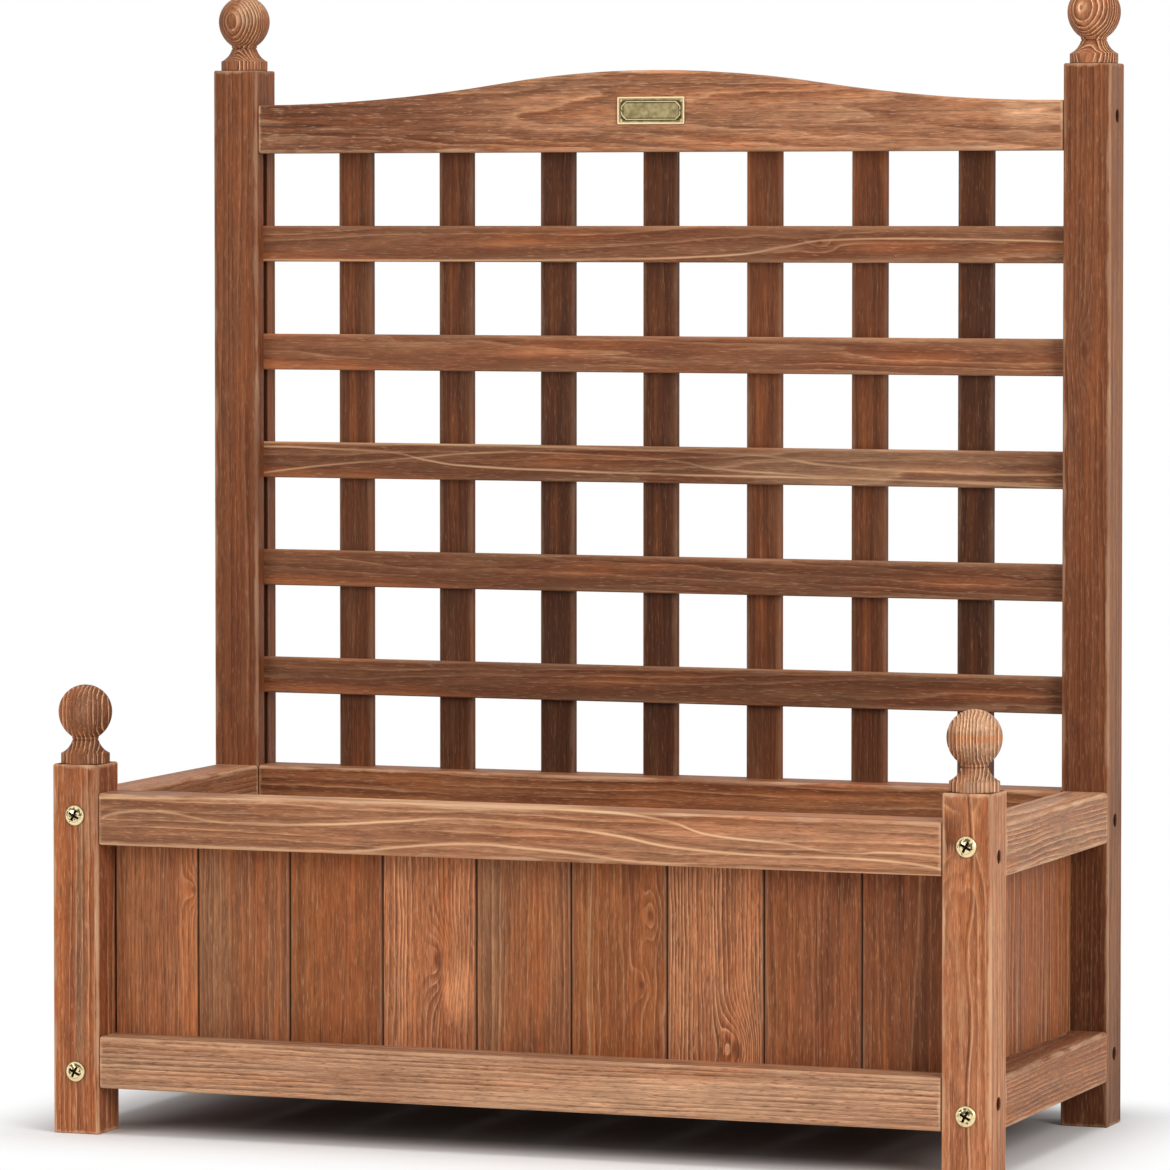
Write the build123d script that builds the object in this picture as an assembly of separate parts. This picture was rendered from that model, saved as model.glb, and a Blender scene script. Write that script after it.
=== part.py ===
from build123d import *
import os
from math import atan, cos, radians, sin

# Wooden box planter with a slatted trellis rising from its two tall rear posts.
# X runs to the right, Y to the back and Z up, with the origin on the ground
# under the middle of the four feet. All sizes are in millimetres.

# Overall frame
WIDTH = 635.0
DEPTH = 292.0
POST = 32.0
FRONT_POST_H = 240.0
REAR_POST_H = 694.0
POST_ROUND = 1.3
POST_END_EASE = 0.8

# Box rails between the posts, as deep as the posts less the inset of their faces
RAIL_H = 33.5
RAIL_INSET = 0.5
RAIL_ROUND = 2.4
RAIL_END_EASE = 0.7
FRONT_TOP_Z = 188.2
FRONT_BOTTOM_Z = 30.2
SIDE_TOP_Z = 186.0
SIDE_BOTTOM_Z = 29.4

# Upright panel boards, housed in a rebate along the inside of the rails
BOARD_T = 7.0
BOARD_PITCH = 64.5
BOARD_SEAM = 0.5
BOARD_EASE = 0.6
BOARD_LAP = 10.0
BOARD_END_GAP = 1.2
LONG_BOARDS = 9
SHORT_BOARDS = 4

# Trellis: crossbars in front, uprights behind, an ogee-topped rail above
ARCH_BOTTOM_Z = 637.5
ARCH_END_Z = 670.2
ARCH_PEAK_Z = 692.0
ARCH_TURN_X = 108.0
ARCH_SETBACK = 1.6
ARCH_D = 28.0
ARCH_ROUND = 2.2
SLAT_T = 7.0
SLAT_EASE = 0.8
CROSSBAR_H = 24.4
CROSSBARS = 5
UPRIGHT_W = 23.8
UPRIGHT_PITCH = 73.5
UPRIGHTS = 7
TRELLIS_SETBACK = 11.0
HOUSING = 8.0
HOUSING_PLAY = 0.5

# Turned ball finials on a wooden dowel
BALL_R = 17.4
BALL_Z = 33.5
BALL_FOOT_Z = 17.1
NECK_R = 8.6
CREASE_R = 7.9
CREASE_Z = 15.2
CREASE_RISE = 0.6
COVE_R = 11.05
COVE_Z = 10.0
SHOULDER_R = 15.6
SHOULDER_Z = 6.5
COLLAR_R = 15.8
COLLAR_H = 6.2
COLLAR_EASE = 0.5
DOWEL_R = 4.0
DOWEL_IN_FINIAL = 14.0
DOWEL_IN_POST = 16.0
DOWEL_PLAY = 0.5
DOWEL_EASE = 0.6

# Floor slats, screwed down to a cleat at the front and one at the back
CLEAT = 18.0
CLEAT_Z = 34.0
CLEAT_PLAY = 0.5
CLEAT_EASE = 0.8
FLOOR_T = 8.0
FLOOR_SLATS = 8
FLOOR_SLAT_W = 69.8
FLOOR_PLAY = 1.0
FLOOR_ROUND = 1.0

# Frame bolts through the posts into the side rails
BOLT_ZS = (40.5, 207.0)
BOLT_R = 3.0
BOLT_LENGTH = 58.0
BOLT_HEAD_R = 6.6
BOLT_HEAD_H = 3.2
BOLT_HEAD_RIM = 1.0
BOLT_TIP = 0.6
BOLT_CLEARANCE = 0.2
CROSS_LENGTH = 7.6
CROSS_WIDTH = 1.7
CROSS_DEPTH = 1.9
CROSS_TURN = 28.0
INSERT_R = 4.5
INSERT_L = 14.0
INSERT_SINK = 1.0

# Sunk screws through the posts into the front, back and arch rails
RAIL_SCREW_ZS = (47.0, 200.0)
ARCH_SCREW_Z = 659.8
SINK_R = 4.5
SINK_DEPTH = 10.0
SCREW_R = 2.1
SCREW_CLEARANCE = 0.2
SCREW_HEAD_R = 4.0
SCREW_HEAD_H = 2.6
SCREW_LENGTH = 52.0
SCREW_TIP = 5.0

# Small screws of the floor and its cleats
FLOOR_SCREW_R = 1.6
FLOOR_SCREW_HEAD_R = 3.2
FLOOR_SCREW_HEAD_H = 2.0
FLOOR_SCREW_L = 25.0
FLOOR_SCREW_TIP = 3.0
FLOOR_SCREW_INSET = 9.0
CLEAT_SCREW_XS = (-220.0, -75.0, 75.0, 220.0)

# Fine brads of the trellis and the panels
BRAD_R = 0.6
BRAD_HEAD_R = 1.1
BRAD_HEAD_H = 0.5
BRAD_L = 12.0
BRAD_TIP = 1.0
PANEL_BRAD_RISE = 5.0

# Headless pins, driven steeply down through the finials' coves into the posts
PIN_R = 0.6
PIN_L = 20.0
PIN_TIP = 1.0
PIN_SINK = 1.6
PIN_MOUTH_R = 11.8
PIN_MOUTH_Z = 9.3
PIN_SLOPE = 15.0
PIN_TURN = 25.0

# Blank name plate on the arch rail
PLATE_W = 47.5
PLATE_H = 18.2
PLATE_T = 1.0
PLATE_Z = 665.0
PLATE_CORNER = 1.2
RIM_W = 1.3
RIM_H = 0.5
PLATE_PIN_R = 0.7
PLATE_PIN_HEAD_R = 1.1
PLATE_PIN_HEAD_H = 0.6
PLATE_PIN_L = 9.0
PLATE_PIN_TIP = 1.0
PLATE_PIN_INSET = 3.4

# Places worked out from the sizes above
HALF_W = WIDTH / 2
HALF_D = DEPTH / 2
POST_X = HALF_W - POST / 2
POST_Y = HALF_D - POST / 2
INNER_X = HALF_W - POST
INNER_Y = HALF_D - POST
CROSSBAR_Y = INNER_Y + TRELLIS_SETBACK
UPRIGHT_Y = CROSSBAR_Y + SLAT_T
SIDE_RAIL_TOP_Z = SIDE_TOP_Z + RAIL_H
ARCH_Y = INNER_Y + ARCH_SETBACK
FLOOR_Z = CLEAT_Z + CLEAT
CROSSBAR_GAP = (ARCH_BOTTOM_Z - SIDE_RAIL_TOP_Z - CROSSBARS * CROSSBAR_H) / (CROSSBARS + 1)
SIDES = {"left": -1, "right": 1}
ENDS = {"front": -1, "rear": 1}


def block(low, high):
    """A box between two opposite corners, given in either order."""
    size = [abs(b - a) for a, b in zip(low, high)]
    middle = [(a + b) / 2 for a, b in zip(low, high)]
    return Pos(*middle) * Box(*size)


def rod(radius, start, axis, length):
    """A round bar from a point, along plus or minus one axis of the frame."""
    plane = Plane(origin=start, z_dir=axis)
    return plane * Cylinder(radius, length, align=(Align.CENTER, Align.CENTER, Align.MIN))


def fastener(profile, head, axis):
    """A turned fastener with its shank along the axis, from under its head."""
    outline = Polyline(*profile, close=True)
    turned = revolve(make_face(Plane.XZ * outline), Axis.Z)
    return Plane(origin=head, z_dir=axis) * turned


def crossbar_z(index):
    """Underside of a crossbar, counted from 1 at the bottom."""
    return SIDE_RAIL_TOP_Z + index * CROSSBAR_GAP + (index - 1) * CROSSBAR_H


def upright_x(index):
    """Middle of a trellis upright, counted from 1 at the left."""
    return (index - (UPRIGHTS + 1) / 2) * UPRIGHT_PITCH


def board_spans(count, half_length):
    """Start and end of each panel board along a side, seams on an even pitch."""
    seams = [(i - count / 2) * BOARD_PITCH for i in range(1, count)]
    starts = [-half_length + BOARD_END_GAP] + [s + BOARD_SEAM / 2 for s in seams]
    ends = [s - BOARD_SEAM / 2 for s in seams] + [half_length - BOARD_END_GAP]
    return list(zip(starts, ends))


def floor_slat_x(index):
    """Left edge of a floor slat, counted from 0, with even gaps between slats."""
    gap = (2 * INNER_X - FLOOR_SLATS * FLOOR_SLAT_W) / (FLOOR_SLATS + 1)
    return -INNER_X + gap + index * (FLOOR_SLAT_W + gap)


def frame_bolt(head, axis):
    """Domed cross-head bolt: head outside the post, shank into the rail."""
    dome_h = BOLT_HEAD_H - BOLT_HEAD_RIM
    dome_r = (BOLT_HEAD_R ** 2 + dome_h ** 2) / (2 * dome_h)
    mid_r = BOLT_HEAD_R / 2
    mid_z = dome_r - (dome_r ** 2 - mid_r ** 2) ** 0.5 - BOLT_HEAD_H
    side = Polyline((0, -BOLT_HEAD_H), (0, BOLT_LENGTH), (BOLT_R - BOLT_TIP, BOLT_LENGTH),
                    (BOLT_R, BOLT_LENGTH - 2 * BOLT_TIP), (BOLT_R, 0), (BOLT_HEAD_R, 0),
                    (BOLT_HEAD_R, -BOLT_HEAD_RIM))
    crown = ThreePointArc((BOLT_HEAD_R, -BOLT_HEAD_RIM), (mid_r, mid_z), (0, -BOLT_HEAD_H))
    turned = revolve(make_face(Plane.XZ * (side + crown)), Axis.Z)
    cross = (Box(CROSS_LENGTH, CROSS_WIDTH, CROSS_DEPTH)
             + Box(CROSS_WIDTH, CROSS_LENGTH, CROSS_DEPTH))
    turned -= Pos(0, 0, -BOLT_HEAD_H + CROSS_DEPTH / 2) * cross
    return Plane(origin=head, z_dir=axis) * (Rot(0, 0, CROSS_TURN) * turned)


def rail_screw(head, axis):
    """Wood screw with a flat-topped head; head is the point under the head."""
    profile = [(0, -SCREW_HEAD_H), (SCREW_HEAD_R, -SCREW_HEAD_H), (SCREW_HEAD_R, 0),
               (SCREW_R, 0), (SCREW_R, SCREW_LENGTH - SCREW_TIP), (0, SCREW_LENGTH)]
    return fastener(profile, head, axis)


def floor_screw(head, axis):
    """Small countersunk screw; head is the middle of the flat top of the head."""
    profile = [(0, 0), (FLOOR_SCREW_HEAD_R, 0), (FLOOR_SCREW_R, FLOOR_SCREW_HEAD_H),
               (FLOOR_SCREW_R, FLOOR_SCREW_L - FLOOR_SCREW_TIP), (0, FLOOR_SCREW_L)]
    return fastener(profile, head, axis)


def brad(head, axis):
    """Fine nail, driven flush; head is the middle of the head's top."""
    profile = [(0, 0), (BRAD_HEAD_R, 0), (BRAD_HEAD_R, BRAD_HEAD_H), (BRAD_R, BRAD_HEAD_H),
               (BRAD_R, BRAD_L - BRAD_TIP), (0, BRAD_L)]
    return fastener(profile, head, axis)


# Fasteners as lists of solids, so that the wood can be bored by them

def frame_bolts():
    bolts = []
    for side in SIDES.values():
        for end in ENDS.values():
            for z in BOLT_ZS:
                head = (side * POST_X, end * HALF_D, z)
                bolts.append(frame_bolt(head, (0, -end, 0)))
    return bolts


def bolt_inserts():
    inserts = []
    for side in SIDES.values():
        for end in ENDS.values():
            for z in BOLT_ZS:
                mouth = (side * POST_X, end * (INNER_Y - INSERT_SINK), z)
                axis = (0, -end, 0)
                inserts.append(rod(INSERT_R, mouth, axis, INSERT_L)
                               - rod(BOLT_R, mouth, axis, INSERT_L))
    return inserts


def rail_screws():
    screws = []
    for side in SIDES.values():
        for end in ENDS.values():
            heights = RAIL_SCREW_ZS + ((ARCH_SCREW_Z,) if end > 0 else ())
            for z in heights:
                head = (side * (HALF_W - SINK_DEPTH), end * POST_Y, z)
                screws.append(rail_screw(head, (-side, 0, 0)))
    return screws


def trellis_brads():
    brads = []
    for row in range(1, CROSSBARS + 1):
        for column in range(1, UPRIGHTS + 1):
            z = crossbar_z(row) + CROSSBAR_H / 2
            head = (upright_x(column), UPRIGHT_Y + SLAT_T, z)
            brads.append(brad(head, (0, -1, 0)))
    return brads


def long_panel_brads(end, bottom_z, top_z):
    """Two brads to a board of the front or back panel, driven from inside."""
    brads = []
    for start, stop in board_spans(LONG_BOARDS, INNER_X):
        for z in (bottom_z + RAIL_H - PANEL_BRAD_RISE, top_z + PANEL_BRAD_RISE):
            brads.append(brad(((start + stop) / 2, end * INNER_Y, z), (0, end, 0)))
    return brads


def short_panel_brads(side):
    """Two brads to a board of a side panel, driven from inside."""
    brads = []
    for start, stop in board_spans(SHORT_BOARDS, INNER_Y):
        for z in (SIDE_BOTTOM_Z + RAIL_H - PANEL_BRAD_RISE, SIDE_TOP_Z + PANEL_BRAD_RISE):
            brads.append(brad((side * INNER_X, (start + stop) / 2, z), (side, 0, 0)))
    return brads


def floor_screws():
    """Screws down through the floor slats, and sideways through the cleats."""
    screws = []
    for index in range(FLOOR_SLATS):
        x = floor_slat_x(index) + FLOOR_SLAT_W / 2
        for end in ENDS.values():
            y = end * (INNER_Y - FLOOR_SCREW_INSET)
            screws.append(floor_screw((x, y, FLOOR_Z + FLOOR_T), (0, 0, -1)))
    for x in CLEAT_SCREW_XS:
        for end in ENDS.values():
            head = (x, end * (INNER_Y - CLEAT), CLEAT_Z + CLEAT / 2)
            screws.append(floor_screw(head, (0, end, 0)))
    return screws


def plate_pins():
    pins = []
    for side in SIDES.values():
        head = (side * (PLATE_W / 2 - PLATE_PIN_INSET), ARCH_Y - PLATE_T, PLATE_Z)
        profile = [(0, -PLATE_PIN_HEAD_H), (PLATE_PIN_R, -PLATE_PIN_HEAD_H),
                   (PLATE_PIN_HEAD_R, 0), (PLATE_PIN_R, 0),
                   (PLATE_PIN_R, PLATE_PIN_L - PLATE_PIN_TIP), (0, PLATE_PIN_L)]
        pins.append(fastener(profile, head, (0, 1, 0)))
    return pins


def finial_pin_place(side, end):
    """Middle of a finial pin's head, below the mouth of its hole, and the pin's direction."""
    foot = FRONT_POST_H if end < 0 else REAR_POST_H
    outwards = Vector(sin(radians(PIN_TURN)), -cos(radians(PIN_TURN)), 0)
    axis = -outwards * sin(radians(PIN_SLOPE)) - Vector(0, 0, cos(radians(PIN_SLOPE)))
    mouth = Vector(side * POST_X, end * POST_Y, foot + PIN_MOUTH_Z) + outwards * PIN_MOUTH_R
    return mouth + axis * PIN_SINK, axis


def finial_pins():
    pins = []
    for side in SIDES.values():
        for end in ENDS.values():
            profile = [(0, 0), (PIN_R, 0), (PIN_R, PIN_L - PIN_TIP), (0, PIN_L)]
            pins.append(fastener(profile, *finial_pin_place(side, end)))
    return pins


def bore(solid, fasteners):
    """Cut out of a piece the room that the fasteners near it take up."""
    box = solid.bounding_box()
    for item in fasteners:
        other = item.bounding_box()
        apart = (other.min.X > box.max.X or other.max.X < box.min.X
                 or other.min.Y > box.max.Y or other.max.Y < box.min.Y
                 or other.min.Z > box.max.Z or other.max.Z < box.min.Z)
        if not apart:
            solid = solid - item
    return solid


# Posts and finials

def post(side, end):
    """A square post with its bolt holes, sunk screw holes and dowel socket."""
    height = FRONT_POST_H if end < 0 else REAR_POST_H
    x = side * POST_X
    y = end * POST_Y
    body = Pos(x, y, height / 2) * Box(POST, POST, height)
    body = fillet(body.edges().filter_by(Axis.Z), POST_ROUND)
    body = chamfer(body.edges().group_by(Axis.Z)[0], POST_END_EASE)
    body = chamfer(body.edges().group_by(Axis.Z)[-1], POST_END_EASE)
    for z in BOLT_ZS:
        body -= rod(BOLT_R + BOLT_CLEARANCE, (x, end * HALF_D, z), (0, -end, 0), POST)
    screw_zs = RAIL_SCREW_ZS + ((ARCH_SCREW_Z,) if end > 0 else ())
    for z in screw_zs:
        face = (side * HALF_W, y, z)
        body -= rod(SINK_R, face, (-side, 0, 0), SINK_DEPTH)
        body -= rod(SCREW_R + SCREW_CLEARANCE, face, (-side, 0, 0), POST)
    body -= rod(DOWEL_R, (x, y, height), (0, 0, -1), DOWEL_IN_POST)
    body -= rod(PIN_R, *finial_pin_place(side, end), PIN_L)
    if end > 0:
        groove_low = (side * INNER_X, CROSSBAR_Y, SIDE_RAIL_TOP_Z)
        groove_high = (side * (INNER_X + HOUSING), CROSSBAR_Y + SLAT_T, ARCH_BOTTOM_Z)
        body -= block(groove_low, groove_high)
    return body


def finial(side, end):
    """A ball that runs into a coved neck and a round collar, turned in one piece."""
    foot = FRONT_POST_H if end < 0 else REAR_POST_H
    neck_foot = (NECK_R, CREASE_Z - CREASE_RISE)
    ball_foot = (NECK_R, BALL_FOOT_Z)
    equator = (BALL_R, BALL_Z)
    ball_top = (0, BALL_Z + BALL_R)
    base = Polyline(ball_top, (0, 0), (COLLAR_R - COLLAR_EASE, 0),
                    (COLLAR_R, COLLAR_EASE), (COLLAR_R, COLLAR_H), (SHOULDER_R, SHOULDER_Z))
    cove = ThreePointArc((SHOULDER_R, SHOULDER_Z), (COVE_R, COVE_Z), neck_foot)
    neck = Polyline(neck_foot, (CREASE_R, CREASE_Z), (NECK_R, CREASE_Z + CREASE_RISE), ball_foot)
    lower = TangentArc(equator, ball_foot, tangent=(0, -1))
    upper = TangentArc(equator, ball_top, tangent=(0, 1))
    turned = revolve(make_face(Plane.XZ * (base + cove + neck + lower + upper)), Axis.Z)
    turned -= rod(DOWEL_R, (0, 0, 0), (0, 0, 1), DOWEL_IN_FINIAL)
    turned = Pos(side * POST_X, end * POST_Y, foot) * turned
    head, axis = finial_pin_place(side, end)
    return turned - rod(PIN_R, head, axis, PIN_L) - rod(PIN_R, head, -axis, 2 * PIN_SINK)


def finial_dowels():
    dowels = []
    for side in SIDES.values():
        for end in ENDS.values():
            foot = FRONT_POST_H if end < 0 else REAR_POST_H
            low = foot - DOWEL_IN_POST + DOWEL_PLAY
            length = DOWEL_IN_POST + DOWEL_IN_FINIAL - 2 * DOWEL_PLAY
            pin = rod(DOWEL_R, (side * POST_X, end * POST_Y, low), (0, 0, 1), length)
            dowels.append(chamfer(pin.edges(), DOWEL_EASE))
    return dowels


# Rails

def eased_bar(along, long_edges, radius):
    """A bar with rounded long edges and only just eased ends, tight against its posts."""
    body = fillet(long_edges, radius)
    for end in (0, -1):
        body = chamfer(body.faces().sort_by(along)[end].edges(), RAIL_END_EASE)
    return body


def rail(along, low, high, rebate_low, rebate_high):
    """A round-edged rail with the rebate that its panel's boards lie in."""
    body = block(low, high)
    body = eased_bar(along, body.edges().filter_by(along), RAIL_ROUND)
    return body - block(rebate_low, rebate_high)


def long_rail(end, z, boards_above):
    """A front or back rail; its boards stand on it or hang from it."""
    outer = end * (HALF_D - RAIL_INSET)
    inner = end * INNER_Y
    rebate_z = z + RAIL_H - BOARD_LAP if boards_above else z
    rebate_y = end * (INNER_Y + BOARD_T)
    body = rail(Axis.X, (-INNER_X, inner, z), (INNER_X, outer, z + RAIL_H),
                (-INNER_X, inner, rebate_z), (INNER_X, rebate_y, rebate_z + BOARD_LAP))
    for side in SIDES.values():
        for screw_z in RAIL_SCREW_ZS:
            if z < screw_z < z + RAIL_H:
                head = (side * (HALF_W - SINK_DEPTH), end * POST_Y, screw_z)
                body -= rail_screw(head, (-side, 0, 0))
    return body


def short_rail(side, z, boards_above):
    """A side rail, bored at each end for its threaded insert and the bolt."""
    outer = side * (HALF_W - RAIL_INSET)
    inner = side * INNER_X
    rebate_z = z + RAIL_H - BOARD_LAP if boards_above else z
    rebate_x = side * (INNER_X + BOARD_T)
    body = rail(Axis.Y, (inner, -INNER_Y, z), (outer, INNER_Y, z + RAIL_H),
                (inner, -INNER_Y, rebate_z), (rebate_x, INNER_Y, rebate_z + BOARD_LAP))
    for end in ENDS.values():
        for bolt_z in BOLT_ZS:
            if z < bolt_z < z + RAIL_H:
                mouth = (side * POST_X, end * INNER_Y, bolt_z)
                body -= rod(INSERT_R, mouth, (0, -end, 0), INSERT_SINK + INSERT_L)
                bolt_reach = BOLT_LENGTH - POST + HOUSING_PLAY
                body -= rod(BOLT_R + BOLT_CLEARANCE, mouth, (0, -end, 0), bolt_reach)
    return body


def upright_housings(z, rise):
    """The seven pockets that take the ends of the uprights."""
    pockets = []
    for column in range(1, UPRIGHTS + 1):
        x = upright_x(column)
        low = (x - UPRIGHT_W / 2, UPRIGHT_Y, z)
        pockets.append(block(low, (x + UPRIGHT_W / 2, UPRIGHT_Y + SLAT_T, z + rise)))
    return pockets


def back_top_rail():
    body = long_rail(1, SIDE_TOP_Z, False)
    for pocket in upright_housings(SIDE_RAIL_TOP_Z, -HOUSING):
        body -= pocket
    return body


def arch_rail(pins):
    """Rail with a crowned top: one hollow curve at each end, one round in the middle."""
    turn = 2 * atan((ARCH_PEAK_Z - ARCH_END_Z) / INNER_X)
    crown_r = ARCH_TURN_X / sin(turn)
    hollow_r = (INNER_X - ARCH_TURN_X) / sin(turn)
    turn_z = ARCH_PEAK_Z - crown_r * (1 - cos(turn))
    hollow_x = INNER_X - hollow_r * sin(turn / 2)
    hollow_z = ARCH_END_Z + hollow_r * (1 - cos(turn / 2))
    sides = Polyline((-INNER_X, ARCH_END_Z), (-INNER_X, ARCH_BOTTOM_Z),
                     (INNER_X, ARCH_BOTTOM_Z), (INNER_X, ARCH_END_Z))
    right = ThreePointArc((INNER_X, ARCH_END_Z), (hollow_x, hollow_z), (ARCH_TURN_X, turn_z))
    crown = ThreePointArc((ARCH_TURN_X, turn_z), (0, ARCH_PEAK_Z), (-ARCH_TURN_X, turn_z))
    left = ThreePointArc((-ARCH_TURN_X, turn_z), (-hollow_x, hollow_z), (-INNER_X, ARCH_END_Z))
    outline = make_face(Plane.XZ * (sides + right + crown + left))
    body = Pos(0, ARCH_Y, 0) * extrude(outline, -ARCH_D, dir=(0, -1, 0))
    ends = body.edges().group_by(Axis.X)
    long_edges = [edge for group in ends[1:-1] for edge in group]
    body = eased_bar(Axis.X, long_edges, ARCH_ROUND)
    for pocket in upright_housings(ARCH_BOTTOM_Z, HOUSING):
        body -= pocket
    for side in SIDES.values():
        head = (side * (HALF_W - SINK_DEPTH), POST_Y, ARCH_SCREW_Z)
        body -= rail_screw(head, (-side, 0, 0))
    return bore(body, pins)


# Boards, slats and cleats

def long_board(span, end, bottom_z, top_z, brads):
    """An upright board of the front or back panel, with eased outer corners."""
    low = (span[0], end * INNER_Y, bottom_z + RAIL_H - BOARD_LAP)
    high = (span[1], end * (INNER_Y + BOARD_T), top_z + BOARD_LAP)
    body = block(low, high)
    face = body.faces().sort_by(Axis.Y)[-1 if end > 0 else 0]
    return bore(chamfer(face.edges().filter_by(Axis.Z), BOARD_EASE), brads)


def short_board(span, side, brads):
    """An upright board of a side panel, with eased outer corners."""
    low = (side * INNER_X, span[0], SIDE_BOTTOM_Z + RAIL_H - BOARD_LAP)
    high = (side * (INNER_X + BOARD_T), span[1], SIDE_TOP_Z + BOARD_LAP)
    body = block(low, high)
    face = body.faces().sort_by(Axis.X)[-1 if side > 0 else 0]
    return bore(chamfer(face.edges().filter_by(Axis.Z), BOARD_EASE), brads)


def crossbar(row, brads):
    """A level slat, its ends housed in the grooves of the rear posts."""
    reach = INNER_X + HOUSING - HOUSING_PLAY
    low = (-reach, CROSSBAR_Y, crossbar_z(row))
    body = block(low, (reach, CROSSBAR_Y + SLAT_T, crossbar_z(row) + CROSSBAR_H))
    return bore(chamfer(body.edges().filter_by(Axis.X), SLAT_EASE), brads)


def upright(column, brads):
    """A standing slat, its ends housed in the arch rail and the back rail."""
    x = upright_x(column)
    low = (x - UPRIGHT_W / 2, UPRIGHT_Y, SIDE_RAIL_TOP_Z - HOUSING + HOUSING_PLAY)
    high = (x + UPRIGHT_W / 2, UPRIGHT_Y + SLAT_T, ARCH_BOTTOM_Z + HOUSING - HOUSING_PLAY)
    body = block(low, high)
    return bore(chamfer(body.edges().filter_by(Axis.Z), SLAT_EASE), brads)


def floor_slats(screws):
    slats = []
    for index in range(FLOOR_SLATS):
        x = floor_slat_x(index)
        reach = INNER_Y - FLOOR_PLAY
        body = block((x, -reach, FLOOR_Z), (x + FLOOR_SLAT_W, reach, FLOOR_Z + FLOOR_T))
        slats.append(bore(fillet(body.edges().filter_by(Axis.Y), FLOOR_ROUND), screws))
    return slats


def floor_cleat(end, screws):
    reach = INNER_X - CLEAT_PLAY
    low = (-reach, end * (INNER_Y - CLEAT), CLEAT_Z)
    body = block(low, (reach, end * INNER_Y, CLEAT_Z + CLEAT))
    return bore(chamfer(body.edges().filter_by(Axis.X), CLEAT_EASE), screws)


def name_plate(pins):
    """A blank plate with a raised rim."""
    back = block((-PLATE_W / 2, ARCH_Y - PLATE_T, PLATE_Z - PLATE_H / 2),
                 (PLATE_W / 2, ARCH_Y, PLATE_Z + PLATE_H / 2))
    rim = block((-PLATE_W / 2, ARCH_Y - PLATE_T - RIM_H, PLATE_Z - PLATE_H / 2),
                (PLATE_W / 2, ARCH_Y - PLATE_T, PLATE_Z + PLATE_H / 2))
    field_w = PLATE_W / 2 - RIM_W
    field_h = PLATE_H / 2 - RIM_W
    rim -= block((-field_w, ARCH_Y - PLATE_T - RIM_H, PLATE_Z - field_h),
                 (field_w, ARCH_Y - PLATE_T, PLATE_Z + field_h))
    plate = back + rim
    corners = plate.edges().filter_by(Axis.Y)
    outer = [edge for edge in corners if abs(abs(edge.center().X) - PLATE_W / 2) < 0.01]
    return bore(fillet(outer, PLATE_CORNER), pins)


def save(name, solids):
    """Write one node: a single solid, or a group of separate ones."""
    if isinstance(solids, list):
        flat = [piece for item in solids for piece in item.solids()]
        shape = flat[0] if len(flat) == 1 else Compound(children=flat)
    else:
        shape = solids.solid()
    shape.label = name
    export_step(shape, f"parts/{name}.step")


def main():
    os.makedirs("parts", exist_ok=True)
    floor_fixings = floor_screws()
    lattice_brads = trellis_brads()
    pins = plate_pins()
    front_brads = long_panel_brads(-1, FRONT_BOTTOM_Z, FRONT_TOP_Z)
    back_brads = long_panel_brads(1, SIDE_BOTTOM_Z, SIDE_TOP_Z)
    side_brads = {side: short_panel_brads(side) for side in SIDES.values()}

    for side_name, side in SIDES.items():
        for end_name, end in ENDS.items():
            save(f"{end_name}_{side_name}_post", post(side, end))
            save(f"{end_name}_{side_name}_finial", finial(side, end))

    front_bottom = bore(long_rail(-1, FRONT_BOTTOM_Z, True), front_brads + floor_fixings)
    back_bottom = bore(long_rail(1, SIDE_BOTTOM_Z, True), back_brads + floor_fixings)
    save("front_top_rail", bore(long_rail(-1, FRONT_TOP_Z, False), front_brads))
    save("front_bottom_rail", front_bottom)
    save("back_top_rail", bore(back_top_rail(), back_brads))
    save("back_bottom_rail", back_bottom)
    for side_name, side in SIDES.items():
        brads = side_brads[side]
        save(f"{side_name}_top_rail", bore(short_rail(side, SIDE_TOP_Z, False), brads))
        save(f"{side_name}_bottom_rail", bore(short_rail(side, SIDE_BOTTOM_Z, True), brads))
        for number, span in enumerate(board_spans(SHORT_BOARDS, INNER_Y), 1):
            save(f"{side_name}_board_{number}", short_board(span, side, brads))

    long_spans = board_spans(LONG_BOARDS, INNER_X)
    for number, span in enumerate(long_spans, 1):
        board = long_board(span, -1, FRONT_BOTTOM_Z, FRONT_TOP_Z, front_brads)
        save(f"front_board_{number}", board)
    save("back_boards", [long_board(span, 1, SIDE_BOTTOM_Z, SIDE_TOP_Z, back_brads)
                         for span in long_spans])

    save("arch_rail", arch_rail(pins))
    for row in range(1, CROSSBARS + 1):
        save(f"trellis_crossbar_{row}", crossbar(row, lattice_brads))
    for column in range(1, UPRIGHTS + 1):
        save(f"trellis_upright_{column}", upright(column, lattice_brads))

    save("floor_slats", floor_slats(floor_fixings))
    save("front_floor_cleat", floor_cleat(-1, floor_fixings))
    save("back_floor_cleat", floor_cleat(1, floor_fixings))
    save("name_plate", name_plate(pins))
    save("plate_pins", pins)
    save("finial_pins", finial_pins())
    save("finial_dowels", finial_dowels())
    save("frame_bolts", frame_bolts())
    save("bolt_inserts", bolt_inserts())
    save("rail_screws", rail_screws())
    save("floor_screws", floor_fixings)
    save("trellis_brads", lattice_brads)
    save("panel_brads", front_brads + back_brads + side_brads[-1] + side_brads[1])


main()
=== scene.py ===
"""A stained fir trellis planter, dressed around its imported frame.

The woodwork and the fasteners keep the frame's own shapes, and each wooden piece gets its
own fir finish, laid out along its own grain. The turned finials and the blank brass plate
are made here. Sizes of patterns are in millimetres, places in metres.
"""

import math

import bmesh
import bpy
from mathutils import Matrix, Vector


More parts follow.
